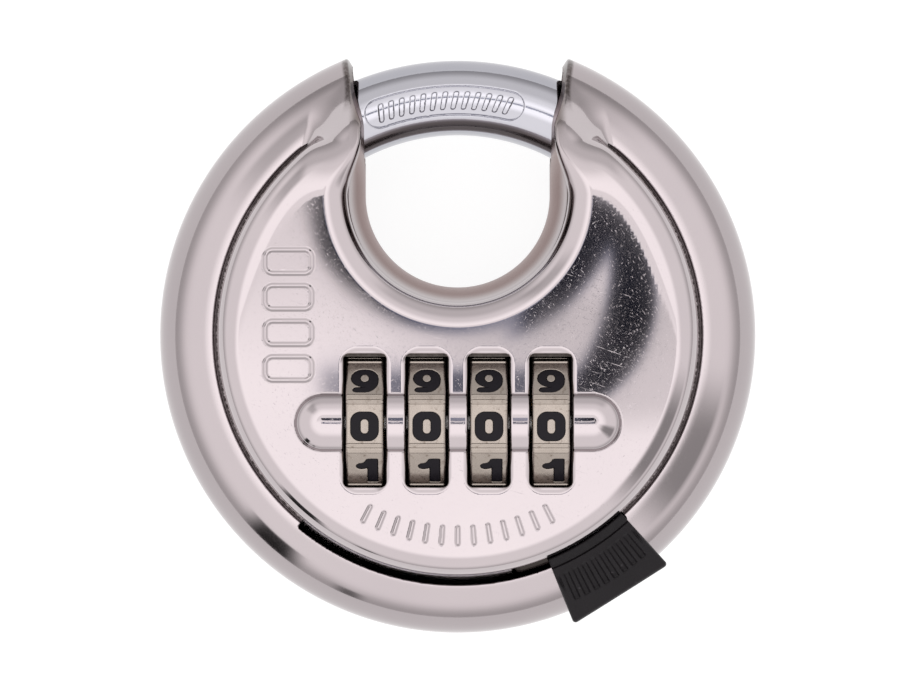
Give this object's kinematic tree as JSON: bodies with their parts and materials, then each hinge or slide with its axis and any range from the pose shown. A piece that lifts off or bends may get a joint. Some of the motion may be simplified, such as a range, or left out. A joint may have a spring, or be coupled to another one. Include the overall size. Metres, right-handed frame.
{
  "type": "disc padlock",
  "caption": "Round stainless steel disc padlock with a shrouded turning shackle worked by a thumb lever, opened by number wheels behind windows in its face.",
  "frame": {"origin": "on the disc's axis, in the plane of the flat back face that the padlock lies on", "axes": "+Z out of the front face, +Y towards the shackle, +X to the right seen from the front"},
  "size_m": [0.07, 0.0677, 0.0266],
  "materials": {
    "polished_stainless": "polished, with fine scratches",
    "chromed_bar": "bright chrome plate",
    "nickel_wheel": "satin nickel plate with black filled digits",
    "black_plastic": "semi-matte moulded",
    "zinc_casting": "as-cast zinc alloy",
    "brass": "turned",
    "hard_steel": "ground",
    "spring_steel": "drawn"
  },
  "bodies": {
    "housing": {"front_shell": "polished_stainless", "rear_shell": "polished_stainless", "core_front": "zinc_casting", "core_rear": "zinc_casting", "core_screws": "spring_steel", "detent_spring": "spring_steel", "detent_rivets": "spring_steel", "spindle_spring": "spring_steel", "reset_spring": "spring_steel"},
    "shackle": {"shackle": "chromed_bar", "thumb_lever": "black_plastic", "lever_rivet": "spring_steel"},
    "dial_1": {"dial_wheel_1": "nickel_wheel", "code_sleeve_1": "brass"},
    "dial_2": {"dial_wheel_2": "nickel_wheel", "code_sleeve_2": "brass"},
    "dial_3": {"dial_wheel_3": "nickel_wheel", "code_sleeve_3": "brass"},
    "dial_4": {"dial_wheel_4": "nickel_wheel", "code_sleeve_4": "brass"},
    "bolt": {"locking_bolt": "hard_steel", "spindle": "spring_steel", "spindle_clip": "spring_steel"},
    "reset": {"reset_button": "brass"}
  },
  "joints": [
    {"name": "shackle_turn", "type": "hinge", "parent": "housing", "child": "shackle", "pos_m": [0, 0, 0.0125], "axis": [0, 0, -1], "range_deg": [0, 61]},
    {"name": "dial_1_spin", "type": "hinge", "parent": "housing", "child": "dial_1", "pos_m": [-0.01073, -0.0102, 0.0176], "axis": [1, 0, 0], "continuous": true},
    {"name": "dial_2_spin", "type": "hinge", "parent": "housing", "child": "dial_2", "pos_m": [-0.00358, -0.0102, 0.0176], "axis": [1, 0, 0], "continuous": true},
    {"name": "dial_3_spin", "type": "hinge", "parent": "housing", "child": "dial_3", "pos_m": [0.00358, -0.0102, 0.0176], "axis": [1, 0, 0], "continuous": true},
    {"name": "dial_4_spin", "type": "hinge", "parent": "housing", "child": "dial_4", "pos_m": [0.01073, -0.0102, 0.0176], "axis": [1, 0, 0], "continuous": true},
    {"name": "bolt_slide", "type": "slide", "parent": "housing", "child": "bolt", "axis": [-1, 0, 0], "range_m": [0, 0.0024], "deforming": ["spindle_spring"]},
    {"name": "reset_press", "type": "slide", "parent": "housing", "child": "reset", "axis": [0, 0, 1], "range_m": [0, 0.0012], "stiffness_N_per_m": 800, "deforming": ["reset_spring"]}
  ],
  "couplings": [
    {"joint": "bolt_slide", "follows": "shackle_turn", "m_per_rad": 0.00225}
  ]
}
